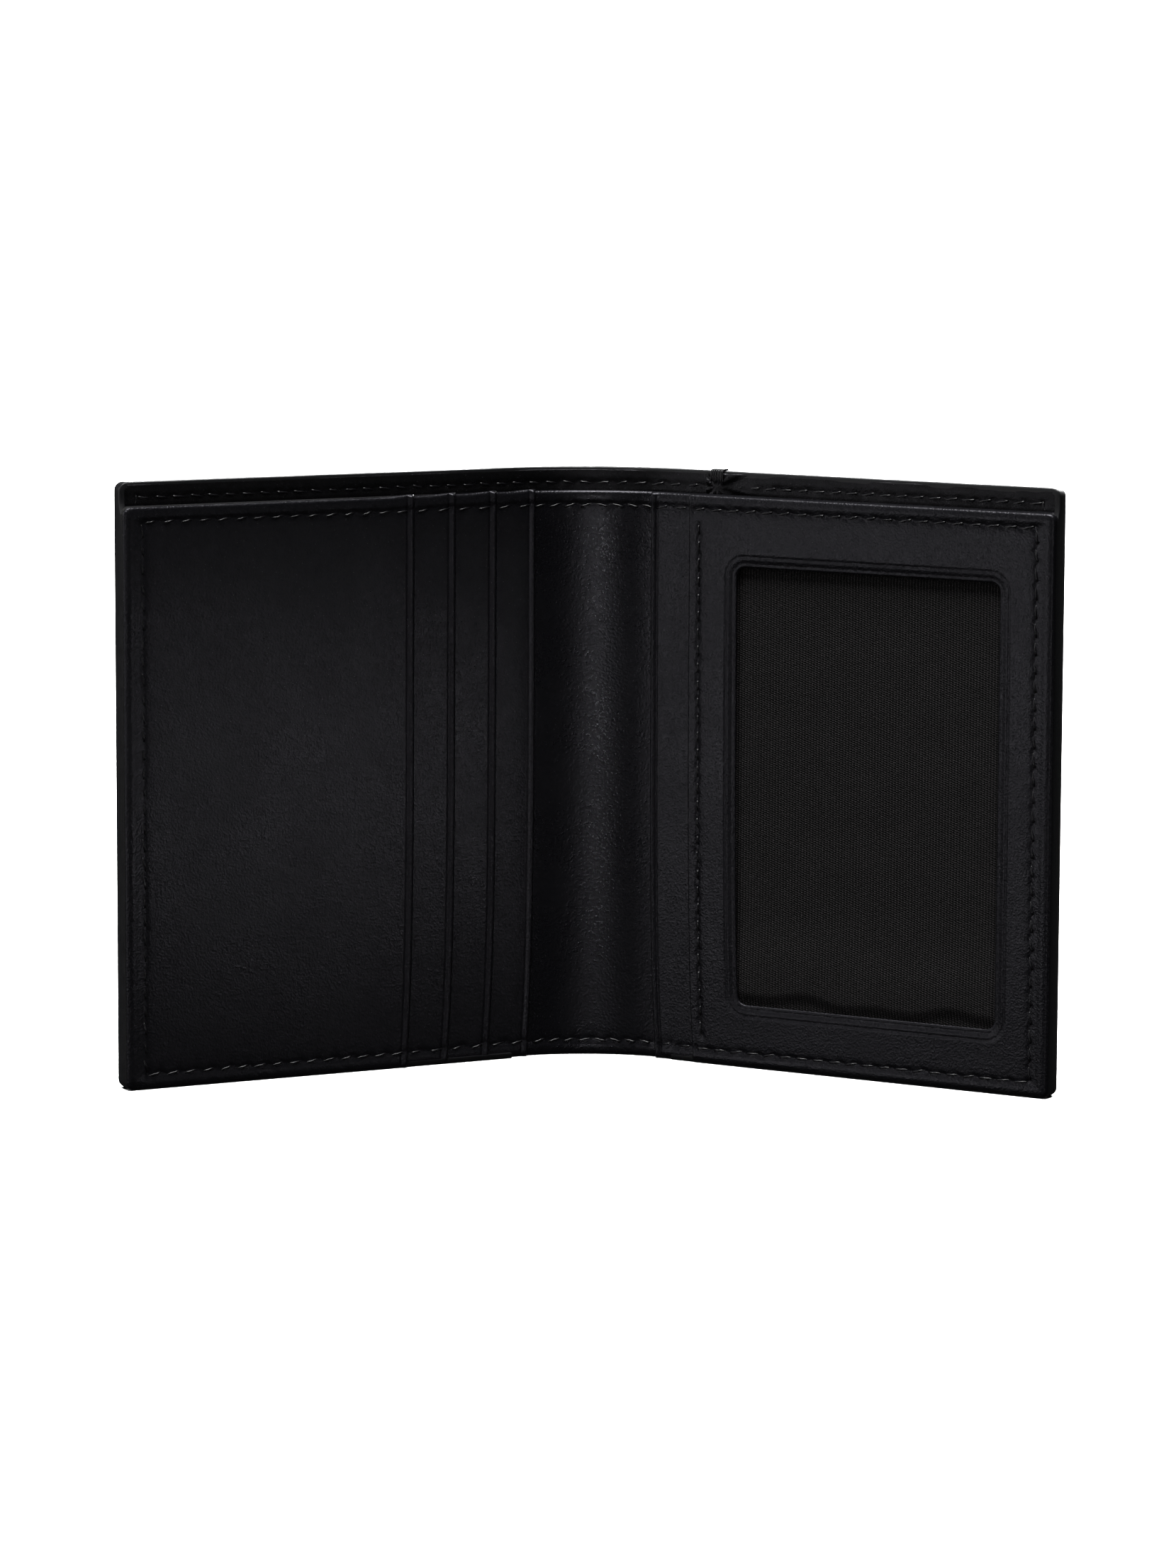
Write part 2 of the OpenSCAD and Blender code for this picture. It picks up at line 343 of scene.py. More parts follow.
def thread_mesh(seams, level, side, radius=0.18, outward=False, where=place):
    """Points and faces of twisted thread, one short tube for each stitch."""
    rings, around = 11, 8
    points, faces = [], []
    t = np.linspace(0, 1, rings)
    rise = np.clip(np.sin(math.pi * t**1.5) * 1.5, 0, 1) ** 0.8
    lift = -0.3 + 0.24 * rise
    turn = np.arange(around) * 2 * math.pi / around
    for seam in seams:
        for a, b in seam.stitches:
            path = a + t[:, None] * (b - a)
            along = (b - a) / np.linalg.norm(b - a)
            across = np.array([-along[1], along[0]])
            phase = rng.uniform(0, math.pi)
            first = sum(len(p) for p in points)
            swell = radius * (1 + 0.16 * np.cos(2 * turn[None, :] - 13 * t[:, None] - phase))
            swell *= (0.62 + 0.38 * rise)[:, None]
            sideways = swell * np.cos(turn)[None, :]
            s = path[:, :1] + sideways * across[0]
            z = path[:, 1:] + sideways * across[1]
            up = lift[:, None] + swell * np.sin(turn)[None, :]
            base = level(path[:, :1] + 0 * s, path[:, 1:] + 0 * z)
            w = base - up if outward else base + up
            points.append(where(side, s, w, z).reshape(-1, 3))
            index = first + np.arange(rings * around).reshape(rings, around)
            for k in range(rings - 1):
                faces.append(band_faces(index[k], index[k + 1]))
            centre = len(points[-1]) + first
            ends = where(
                side, path[[0, -1], 0],
                (base[[0, -1], 0] + (-lift if outward else lift)[[0, -1]]),
                path[[0, -1], 1],
            )
            points.append(ends)
            for ring, middle in ((0, centre), (-1, centre + 1)):
                loop = index[ring]
                fan = np.stack(
                    [loop, np.roll(loop, -1), np.full(around, middle)], -1
                )
                faces.append(np.concatenate([fan, fan[:, 2:]], -1))
    return np.concatenate(points), np.concatenate(faces)


def make_thread(name, seams, level, side, bend_end=None, stands_for=(), outward=False,
                where=place):
    """A whole seam's thread as one piece."""
    points, faces = thread_mesh(seams, level, side, outward=outward, where=where)
    piece = make_object(name, points, faces, THREAD, sharp=None)
    settle(piece, side, bend_end, stands_for)


# ----------------------------------------------------------------- materials


class Shader:
    """A material with a Principled shader and short ways to add nodes."""

    def __init__(self, name, **sockets):
        self.material = bpy.data.materials.new(name)
        self.material.use_nodes = True
        self.tree = self.material.node_tree
        self.surface = self.tree.nodes["Principled BSDF"]
        for socket, value in sockets.items():
            self.surface.inputs[socket.replace("_", " ")].default_value = value
        self.place = self.add("ShaderNodeTexCoord").outputs["Object"]

    def add(self, kind, settings=None, **sockets):
        """A new node, with a value or a link for each named socket."""
        node = self.tree.nodes.new(kind)
        for name, value in (settings or {}).items():
            setattr(node, name, value)
        for name, value in sockets.items():
            socket = node.inputs[name.replace("_", " ")]
            if isinstance(value, bpy.types.NodeSocket):
                self.tree.links.new(value, socket)
            else:
                socket.default_value = value
        return node

    def stretched(self, scale, turn=0.0):
        """The piece's coordinates, turned about z and scaled."""
        node = self.add("ShaderNodeMapping", Vector=self.place, Scale=scale)
        node.inputs["Rotation"].default_value = (0, 0, turn)
        return node.outputs["Vector"]

    def noise(self, size_mm, detail=2.0, vector=None):
        """Cloudy noise whose patches are about this size."""
        node = self.add(
            "ShaderNodeTexNoise", Vector=vector or self.place,
            Scale=1 / (size_mm * MM), Detail=detail,
        )
        return node.outputs["Fac"]

    def cells(self, size_mm):
        """Distance to the nearest of many scattered points."""
        node = self.add(
            "ShaderNodeTexVoronoi", Vector=self.place, Scale=1 / (size_mm * MM)
        )
        return node.outputs["Distance"]

    def math(self, operation, a, b=0.0):
        """The result of one sum on numbers or sockets."""
        node = self.add("ShaderNodeMath", {"operation": operation})
        for socket, value in zip(node.inputs, (a, b)):
            if isinstance(value, bpy.types.NodeSocket):
                self.tree.links.new(value, socket)
            else:
                socket.default_value = value
        return node.outputs[0]

    def remap(self, value, low, high, from_low=0.0, from_high=1.0):
        """A value moved from one range to another, and kept inside it."""
        node = self.add("ShaderNodeMapRange", Value=value)
        for name, number in (
            ("From Min", from_low), ("From Max", from_high),
            ("To Min", low), ("To Max", high),
        ):
            node.inputs[name].default_value = number
        return node.outputs["Result"]

    def mix(self, factor, a, b):
        """A colour between two colours or colour sockets."""
        node = self.add("ShaderNodeMix", {"data_type": "RGBA"})
        self.tree.links.new(factor, node.inputs["Factor"])
        for name, colour in (("A", a), ("B", b)):
            if isinstance(colour, bpy.types.NodeSocket):
                self.tree.links.new(colour, node.inputs[name])
            else:
                node.inputs[name].default_value = (*colour, 1)
        return node.outputs["Result"]

    def drive(self, socket, value):
        """Links a value to one of the surface's sockets."""
        self.tree.links.new(value, self.surface.inputs[socket])

    def bump(self, height, strength, depth_mm, below=None):
        """A normal tilted by a height, on top of the one below it."""
        node = self.add(
            "ShaderNodeBump", Height=height, Strength=strength, Distance=depth_mm * MM
        )
        if below is not None:
            self.tree.links.new(below, node.inputs["Normal"])
        return node.outputs["Normal"]


def leather(name, dark, light, rough, grain_mm=0.26, grain_depth=0.026, creases=False,
            ior=1.46):
    """Smooth calf leather: fine pebbles, soft patches and a quiet bluish sheen."""
    look = Shader(name, IOR=ior)
    look.surface.inputs["Specular Tint"].default_value = (0.92, 0.90, 1.0, 1)
    patches = look.noise(14, 3)
    pores = look.noise(grain_mm, 1)
    pebbles = look.cells(grain_mm * 1.4)
    tone = look.math("ADD", look.remap(patches, 0.3, 0.7, 0.3, 0.7),
                     look.remap(pores, -0.5, 0.5, 0.3, 0.7))
    # Painted glints: sparse lighter specks in the base colour stand in for glints of light on the grain.
    painted_glints = look.remap(look.cells(0.9), 1, 0, 0.05, 0.1)
    tint = look.mix(tone, dark, light)
    look.drive("Base Color", look.mix(painted_glints, tint, (0.045, 0.045, 0.05)))
    look.drive("Roughness", look.math(
        "ADD", look.remap(patches, rough - 0.03, rough + 0.03, 0.3, 0.7),
        look.remap(pores, 0.05, -0.05, 0.3, 0.7),
    ))
    height = look.math("SUBTRACT", look.math("MULTIPLY", pores, 1.6),
                       look.math("MULTIPLY", pebbles, 0.5))
    normal = look.bump(height, 1.0, grain_depth)
    normal = look.bump(look.noise(2.6, 2), 0.12, 0.12, normal)
    if creases:
        upright = look.noise(0.8, 3, look.stretched((1, 1, 0.1)))
        normal = look.bump(upright, 0.12, 0.06, normal)
    look.drive("Normal", normal)
    return look.material


def edge_paint():
    """The hard dark paint on cut edges."""
    look = Shader("edge_paint", IOR=1.48)
    patches = look.noise(5, 3)
    look.drive("Base Color", look.mix(patches, (0.004, 0.004, 0.005), (0.009, 0.009, 0.011)))
    look.drive("Roughness", look.remap(look.noise(1.2, 3), 0.4, 0.55, 0.3, 0.7))
    look.drive("Normal", look.bump(look.noise(1.6, 4), 0.4, 0.08))
    return look.material


def woven_cloth():
    """Plain dark lining cloth with crossed threads."""
    look = Shader("woven_cloth", Roughness=0.85, IOR=1.4)
    thread_mm = 0.3
    waves = [
        look.add(
            "ShaderNodeTexWave", {"bands_direction": way},
            Vector=look.stretched((1, 1, 1), FOLD), Scale=1 / (thread_mm * MM) / 20 * math.pi,
        ).outputs["Fac"]
        for way in ("X", "Z")
    ]
    weave = look.math("MULTIPLY", *waves)
    look.drive("Base Color", look.mix(weave, (0.008, 0.008, 0.008), (0.022, 0.021, 0.02)))
    look.drive("Normal", look.bump(weave, 0.6, 0.06))
    return look.material


def ribbed_cloth():
    """Colours the ribs, which are in the mesh, and adds beads along them. The colour paints light on the crests
    and bead tops and shade in the grooves.
    """
    look = Shader("ribbed_cloth", Roughness=0.7, IOR=1.4)
    across = look.add("ShaderNodeVectorMath", {"operation": "DOT_PRODUCT"})
    look.tree.links.new(look.place, across.inputs[0])
    across.inputs[1].default_value = (math.cos(FOLD), -math.sin(FOLD), 0)
    s_zero = HINGE_X - HINGE_X * math.cos(FOLD) + AXIS_Y * math.sin(FOLD)
    turn = look.math("MULTIPLY", across.outputs["Value"], 2 * math.pi / (RIB * MM))
    turn = look.math("ADD", turn, 2 * math.pi * s_zero / RIB)
    ribs = look.math("COSINE", turn)
    along = look.add("ShaderNodeSeparateXYZ", Vector=look.place).outputs["Z"]
    wobble = look.math("MULTIPLY", look.noise(0.9, 1), 3.0)
    beads = look.math("SINE", look.math(
        "ADD", look.math("MULTIPLY", along, 2 * math.pi / (RIB_BEAD * MM)),
        look.math("ADD", look.math("MULTIPLY", turn, 0.5), wobble)))
    fuzz = look.noise(0.3, 2)
    # Painted light and shade: light on the rib crests and bead tops, near black in the grooves between ribs, with
    # random fuzz in the tone.
    tone = look.math("ADD", look.remap(ribs, -0.35, 0.6, -1, 1),
                     look.remap(beads, -0.2, 0.25, -1, 1))
    tone = look.math("ADD", tone, look.remap(fuzz, -0.35, 0.35, 0.3, 0.7))
    look.drive("Base Color", look.mix(tone, (0.0006, 0.0005, 0.0005), (0.036, 0.031, 0.033)))
    height = look.math("ADD", look.math("MULTIPLY", beads, 0.3), fuzz)
    look.drive("Normal", look.bump(height, 1.0, 0.1))
    return look.material


def board_fibre():
    """Grey-brown fibre board."""
    look = Shader("board_fibre", Roughness=0.9)
    look.drive("Base Color", look.mix(look.noise(0.8, 4), (0.05, 0.045, 0.04), (0.11, 0.1, 0.09)))
    look.drive("Normal", look.bump(look.noise(0.4, 3), 0.5, 0.05))
    return look.material


def waxed_thread():
    """Black sewing thread with a waxy sheen."""
    look = Shader("waxed_thread", Roughness=0.28, IOR=1.55)
    strands = look.noise(0.18, 2)
    look.drive("Base Color", look.mix(strands, (0.002, 0.002, 0.003), (0.008, 0.008, 0.01)))
    look.drive("Normal", look.bump(strands, 0.5, 0.05))
    return look.material


COVER = leather("cover_leather", (0.0022, 0.0022, 0.0028), (0.0036, 0.0036, 0.0046), 0.36)
INNER = leather("inner_leather", (0.0024, 0.0024, 0.0033), (0.0040, 0.0040, 0.0054), 0.35,
                0.32, 0.036)
SPINE = leather("spine_leather", (0.0022, 0.0022, 0.0030), (0.0038, 0.0038, 0.0052), 0.31,
                0.36, 0.028, creases=True)
LINING = leather("lining_leather", (0.0012, 0.0012, 0.0012), (0.0022, 0.0022, 0.0021), 0.36,
                 0.24, 0.035, ior=1.4)
PAINT = edge_paint()
CLOTH = woven_cloth()
RIBBED = ribbed_cloth()
BOARD = board_fibre()
THREAD = waxed_thread()


# ------------------------------------------------------------------- layers

# Where the seams run: in from the edges, up the sides, along the shell's top,
# beside the window frame's edge, and at the bar tack.
THREAD_R = (LAYER["seam_id_frame"]["s"][1] - LAYER["seam_id_frame"]["s"][0]) / 2
SEAM_IN = LAYER["seam_right"]["z"][0] + THREAD_R
SEAM_Z = (SEAM_IN, INSIDE_TOP - SEAM_IN)
SEAM_S = LAYER["seam_right"]["s"][1] - THREAD_R
SHELL_SEAM_Z = np.mean(LAYER["seam_shell_left"]["z"])
COLUMN_S = np.mean(LAYER["seam_id_frame"]["s"])
TACK_S = np.mean(LAYER["bar_tack"]["s"])
Z_FINE = [(SEAM_Z[0] - 1, SEAM_Z[0] + 1), (SEAM_Z[1] - 1, SEAM_Z[1] + 1)]


def z_places(z0, z1, step=1.6, fine=Z_FINE):
    """Heights for a layer's mesh, closer together at its edges and seams."""
    ends = edge_steps(z0, 1) + edge_steps(z1, -1)
    return np.unique(np.concatenate([spaced(z0, z1, step, fine, 0.32), ends]))


def s_places(s0, s1, step=0.6, open_edge=False, outer=True):
    """The same along s. An open edge is the folded edge of a pocket."""
    parts = [spaced(s0, s1, step, [(SEAM_S - 1, SEAM_S + 1)] if outer else ())]
    if outer:
        corner = s1 - CORNER_R + CORNER_R * np.sin(np.linspace(0, math.pi / 2, 9))
        parts += [corner, edge_steps(s1, -1)]
    if open_edge:
        parts.append(np.linspace(s0, s0 + 3, 22))
    return np.unique(np.round(np.concatenate(parts), 4))


def layer(name, side, material, s0, w0, w1, z1, stands_for, s1=OUTER, bend_end=None,
          relief=None, edge_r=0.3, z0=0.0, open_edge=False, corner=CORNER_R, z_line=None,
          rise=0.0, where=place):
    """One flat layer with rounded outer edges and an optional relief."""
    outer = s1 == OUTER
    outline = Outline(s0, s1, z0, z1, corner if outer else 0.01, rise)
    front_r, back_r = min(edge_r, 0.8 * (w1 - w0)), 0.15 * (w1 - w0)

    def back(s, z):
        return w0 + rounded(outline.inset(s, z), back_r)

    def front(s, z):
        fall = rounded(outline.inset(s, z), front_r)
        height = w1 - fall + (relief(s, z) if relief else 0)
        return np.maximum(height, back(s, z) + LEAST_T)

    s_line = s_places(s0, s1, open_edge=open_edge, outer=outer)
    points, faces = slab_mesh(
        outline, s_line, z_places(z0, z1) if z_line is None else z_line, front, back, side, where
    )
    piece = make_object(name, points, faces, material)
    return settle(piece, side, bend_end, stands_for)


def w_range(node):
    """A CAD layer's back and front."""
    return LAYER[node]["w"]


def side_name(side):
    """The side's name, as the CAD nodes have it."""
    return "left" if side == LEFT else "right"


def turned_edge(inset):
    """The turned edge of a panel: puffed between its rim and its seam."""
    return 0.15 * bell(inset - 1.05, 0.75)


def puffed_edge(inset):
    """A fuller turned edge, whose outer half leans back from the front."""
    crest, crest_at, drop = 0.14, 1.25, 0.3
    rise = crest - drop * (np.clip(crest_at - inset, 0, crest_at) / crest_at) ** 2
    return rise - crest * smooth((inset - crest_at) / 1.2)


def make_cover(side):
    """The outer leather of one half and half the spine, with its seam."""
    name = side_name(side)
    seams = [
        Seam((0, SEAM_Z[0]), (SEAM_S, SEAM_Z[0])),
        Seam((SEAM_S, SEAM_Z[0]), (SEAM_S, SHELL_SEAM_Z)),
        Seam((SEAM_S, SHELL_SEAM_Z), (0, SHELL_SEAM_Z)),
    ]
    w0, w1 = w_range("cover_" + name)
    outline = Outline(0, OUTER, 0, CORE_TOP)

    def back(s, z):
        inset = outline.inset(s, z)
        dents = sum(seam.dent(s, z) for seam in seams)
        return w0 + rounded(inset, 0.38) - 0.6 * dents - 0.5 * turned_edge(inset)

    def front(s, z):
        return w1 - rounded(outline.inset(s, z), 0.3)

    fine = [(SEAM_Z[0] - 1, SEAM_Z[0] + 1), (SHELL_SEAM_Z - 1, SHELL_SEAM_Z + 1)]
    points, faces = slab_mesh(
        outline, s_places(0, OUTER), z_places(0, CORE_TOP, fine=fine), front, back, side
    )
    piece = make_object("cover_leather_" + name, points, faces, COVER)
    nodes = ["cover_" + name] + (["cover_spine"] if side == LEFT else [])
    settle(piece, side, BEND_END, nodes)
    make_thread("cover_thread_" + name, seams, lambda s, z: w0 + 0 * s, side,
                BEND_END, outward=True)


def make_linings():
    """The left lining crosses the spine, and the right one laps over its end."""
    w0, w1 = w_range("lining_left")
    lap = LAYER["lining_right"]["s"][0]
    ends = {LEFT: OUTER, RIGHT: TACK_S}
    fine = [(SHELL_SEAM_Z - 1.4, CORE_TOP)]
    for side, node in ((LEFT, "lining_left"), (RIGHT, "lining_joint")):
        seam = Seam((0, SHELL_SEAM_Z), (SEAM_S if side == LEFT else TACK_S, SHELL_SEAM_Z))
        waves = soft_waves(20 + side, 0.07, 18)

        def relief(s, z, seam=seam, waves=waves):
            edge = turned_edge(CORE_TOP - z)
            return seam.dent(s, z) + waves(s, z) + 0.6 * edge

        nodes = [node] + (["lining_spine"] if side == LEFT else [])
        layer(node + "_leather", side, LINING, 0, w0, w1, CORE_TOP,
              nodes, ends[side], BEND_END, relief, z_line=z_places(0, CORE_TOP, fine=fine))
        threads = [seam]
        if side == LEFT:
            threads.append(Seam((SEAM_S, INSIDE_TOP), (SEAM_S, SHELL_SEAM_Z)))
        make_thread("shell_thread_" + side_name(side), threads,
                    lambda s, z: w1 + 0 * s, side, BEND_END,
                    ["seam_shell_left"] if side == LEFT else [])

    seam = Seam((TACK_S + 2, SHELL_SEAM_Z), (SEAM_S, SHELL_SEAM_Z))
    waves = soft_waves(31, 0.1, 16)
    drop = w1 - w0

    def lapped(s, z):
        step = drop * (1 - smooth((s - lap - 2.5) / 3.0))
        pull = np.hypot(s - TACK_S, z - SHELL_SEAM_Z)
        fan = np.arctan2(SHELL_SEAM_Z - z, s - TACK_S)
        wrinkles = 0.22 * np.sin(fan * 9 + 1.0) * bell(pull - 3.0, 5.0) * smooth(pull / 2)
        return step + seam.dent(s, z) + waves(s, z) + wrinkles + 0.6 * turned_edge(CORE_TOP - z)

    layer("lining_right_leather", RIGHT, LINING, lap, w0 + 0.02, w1,
          CORE_TOP, ["lining_right"], relief=lapped, open_edge=True,
          z_line=z_places(0, CORE_TOP, fine=fine))
    upright = Seam((SEAM_S, INSIDE_TOP), (SEAM_S, SHELL_SEAM_Z))
    make_thread("shell_thread_far_right", [seam, upright],
                lambda s, z: w1 + drop * (1 - smooth((s - lap - 2.5) / 3.0)), RIGHT,
                stands_for=["seam_shell_right"])


def make_shell_bead(side):
    """The painted bead along the shell's top edge, as a swept half round."""
    name = side_name(side)
    s_line = spaced(0, OUTER - CORNER_R * 0.5, 1.0)
    turn = np.linspace(0, math.pi, 13)
    middle, reach = SHELL_W / 2, SHELL_W / 2
    wobble = soft_waves(40 + side, 0.02, 25)
    s_grid, turn_grid = np.meshgrid(s_line, turn, indexing="ij")
    foot = CORE_TOP + 0.05
    w = middle - (reach - 0.02) * np.cos(turn_grid)
    z = foot + (SHELL_TOP - foot) * np.sin(turn_grid) ** 0.7 + wobble(s_grid, 0 * s_grid)
    end = smooth((OUTER - s_grid) / CORNER_R)
    z = foot + (z - foot) * end - (1 - end) * 0.4
    low = np.full_like(z, CORE_TOP - 0.6)
    points, faces = closed_mesh(place(side, s_grid, w, z), place(side, s_grid, w, low))
    piece = make_object("shell_bead_" + name, points, faces, PAINT)
    nodes = ["edge_bead_" + name] + (["edge_bead_spine"] if side == LEFT else [])
    settle(piece, side, BEND_END, nodes)


def make_spine_layers(side):
    """Tape, filler and divider, which lie hidden between the leathers."""
    name = side_name(side)
    only_left = side == LEFT
    w0, w1 = w_range("spine_tape")
    layer("spine_tape_" + name, side, CLOTH, 0, w0, w1, CORE_TOP,
          ["spine_tape"] if only_left else [], LAYER["spine_tape"]["s"][1], BEND_END)
    w0, w1 = w_range("bottom_filler_spine")
    top = LAYER["bottom_filler_spine"]["z"][1]
    layer("spine_filler_" + name, side, INNER, 0, w0, w1, top,
          ["bottom_filler_spine"] if only_left else [],
          LAYER["bottom_filler_left"]["s"][0], BEND_END, z_line=np.linspace(0, top, 4))
    w0, w1 = w_range("divider_left")
    reach, height = OUTER - 0.2, INSIDE_TOP - 0.3
    cloth = layer("divider_cloth_" + name, side, CLOTH, 0, w0, w1, height,
                  ["divider_" + name] + (["divider_spine"] if only_left else []),
                  reach, BEND_END, edge_r=0.05)


def make_base(side):
    """The leather under the pockets, which shows at the spine."""
    name = side_name(side)
    w0, w1 = w_range("base_" + name)
    seams = [Seam((0, z), (INSIDE_BEND_END, z), slant=-0.55) for z in SEAM_Z]

    def relief(s, z):
        rim = np.minimum(z, INSIDE_TOP - z)
        near_spine = s < 20
        return sum(seam.dent(s, z) for seam in seams) + puffed_edge(rim) * near_spine

    layer("base_leather_" + name, side, SPINE, 0, w0, w1, INSIDE_TOP,
          ["base_" + name] + (["base_spine"] if side == LEFT else []),
          bend_end=INSIDE_BEND_END, relief=relief, edge_r=0.45)
    make_thread("spine_thread_" + name, seams, lambda s, z: w1 + 0 * s, side,
                INSIDE_BEND_END, ["seam_spine"] if side == LEFT else [])


def folded_edge(d, drop, crest=0.3, shoulder=0.6, width=1.25):
    """Relief of a folded leather edge: a round bead and a creased line after it."""
    rise = np.sqrt(np.clip(1 - (np.clip(shoulder - d, 0, shoulder) / shoulder) ** 2, 0, 1))
    near = -drop + (crest + drop) * rise
    fall = smooth((d - shoulder) / (width - shoulder))
    far = crest * (1 - fall) - 0.12 * bell(d - width - 0.05, 0.2)
    return np.where(d < shoulder, near, far)


def panel(name, side, node, s1, seams, seed):
    """A pocket panel with its folded edge towards the spine."""
    s0 = LAYER[node]["s"][0]
    w0, w1 = w_range(node)
    lift = 0.3
    outline = Outline(s0, s1, 0, INSIDE_TOP, CORNER_R if s1 == OUTER else 0.01, lift)
    waves = soft_waves(seed, 0.05)

    def relief(s, z):
        rim = outline.inset(s, z)
        total = puffed_edge(rim) + waves(s, z) * smooth(rim / 8)
        total = total + sum(seam.dent(s, z) for seam in seams)
        return total + folded_edge(s - s0, (w1 - w0) * 0.8) * smooth(rim / 0.5 + 0.2)

    layer(name, side, INNER, s0, w0, w1, INSIDE_TOP, [node], s1,
          relief=relief, open_edge=True, edge_r=0.32, rise=lift, where=place_panel)


def make_card_pockets():
    """Three stepped facings and the large front pocket, with one seam round them."""
    facings = ["pocket_facing_4", "pocket_facing_3", "pocket_facing_2"]
    edges = [LAYER[node]["s"][0] for node in (*facings, "pocket_front")]
    levels = np.array([w_range(node)[1] for node in (*facings, "pocket_front")])
    every = []
    for k, node in enumerate(facings):
        seams = [Seam((edges[k] + 0.3, z), (edges[k + 1], z), slant=-0.5) for z in SEAM_Z]
        panel(node + "_leather", LEFT, node, LAYER[node]["s"][1], seams, 50 + k)
        every += seams
    seams = [
        Seam((edges[3] + 0.5, SEAM_Z[1]), (SEAM_S, SEAM_Z[1]), slant=-0.4),
        Seam((SEAM_S, SEAM_Z[1]), (SEAM_S, SEAM_Z[0]), slant=-0.3),
        Seam((SEAM_S, SEAM_Z[0]), (edges[3] + 0.5, SEAM_Z[0]), slant=-0.4),
    ]
    panel("pocket_front_leather", LEFT, "pocket_front", OUTER, seams, 60)
    every += seams

    def level(s, z):
        return levels[np.searchsorted(edges[1:], s)]

    make_thread("pocket_thread", every, level, LEFT, stands_for=["seam_pockets"],
                where=place_panel)


# ------------------------------------------------------------ window pocket


def box_outline(s0, s1, z0, z1, radii, along, turn):
    """Points round a box with four corner radii, counted from low s, low z."""
    corners = [(s0, z0, 1, 1), (s1, z0, -1, 1), (s1, z1, -1, -1), (s0, z1, 1, -1)]
    starts = [math.pi, 1.5 * math.pi, 0, 0.5 * math.pi]
    points = []
    for k in range(4):
        s, z, ds, dz = corners[k]
        r = radii[k]
        centre = np.array([s + ds * r, z + dz * r])
        angles = starts[k] + np.linspace(0, math.pi / 2, turn)
        arc = centre + r * np.stack([np.cos(angles), np.sin(angles)], -1)
        s2, z2, ds2, dz2 = corners[(k + 1) % 4]
        r2 = radii[(k + 1) % 4]
        next_centre = np.array([s2 + ds2 * r2, z2 + dz2 * r2])
        first = starts[(k + 1) % 4]
        following = next_centre + r2 * np.array([math.cos(first), math.sin(first)])
        count = along[k % 2]
        line = arc[-1] + (following - arc[-1]) * (np.arange(1, count) / count)[:, None]
        points += [arc, line]
    return np.concatenate(points)


def box_inset(s, z, box, r):
    """Distance inwards from a box's edge, negative outside it."""
    s0, s1, z0, z1 = box
    qs = np.abs(s - (s0 + s1) / 2) - (s1 - s0) / 2 + r
    qz = np.abs(z - (z0 + z1) / 2) - (z1 - z0) / 2 + r
    outside = np.hypot(np.maximum(qs, 0), np.maximum(qz, 0))
    return r - outside - np.minimum(np.maximum(qs, qz), 0)


def window_box(node):
    """The window of a CAD layer, from the vertices inside its outline."""
    s, _, z = unfolded(node)
    s0, s1 = LAYER[node]["s"]
    inner = (s > s0 + 3) & (s < s1 - 3) & (z > 3) & (z < INSIDE_TOP - 3)
    return s[inner].min(), s[inner].max(), z[inner].min(), z[inner].max()


def windowed(name, node, window_r, relief, ring_count):
    """A leather layer with a window, as rings from the window outwards."""
    s0, s1 = LAYER[node]["s"]
    w0, w1 = w_range(node)
    hole = window_box(node)
    along, turn = (120, 190), 10
    inner = box_outline(*hole, [window_r] * 4, along, turn)
    outer = box_outline(s0, s1, 0, INSIDE_TOP, [0.3, CORNER_R, CORNER_R, 0.3], along, turn)
    at_window = [0, 0.003, 0.008, 0.015, 0.025, 0.037]
    steps = np.unique(np.concatenate([
        at_window, np.linspace(0.05, 1, ring_count), np.linspace(0.84, 1, 20)
    ]))
    rings = inner[None] + steps[:, None, None] * (outer - inner)[None]
    s, z = rings[..., 0], rings[..., 1]
    front = np.maximum(w1 + relief(s, z), w0 + LEAST_T)
    back = np.full_like(front, w0)
    rows, count = s.shape
    index = np.arange(rows * count).reshape(rows, count)
    faces = [band_faces(index[k], index[k + 1]) for k in range(rows - 1)]
    faces += [f[:, ::-1] + rows * count for f in faces]
    faces += [band_faces(index[0], index[0] + rows * count)]
    faces += [band_faces(index[-1], index[-1] + rows * count)]
    points = np.concatenate([
        place_panel(RIGHT, s, w, z).reshape(-1, 3) for w in (front, back)
    ])
    piece = make_object(name, points, np.concatenate(faces), INNER)
    return settle(piece, RIGHT, None, [node])


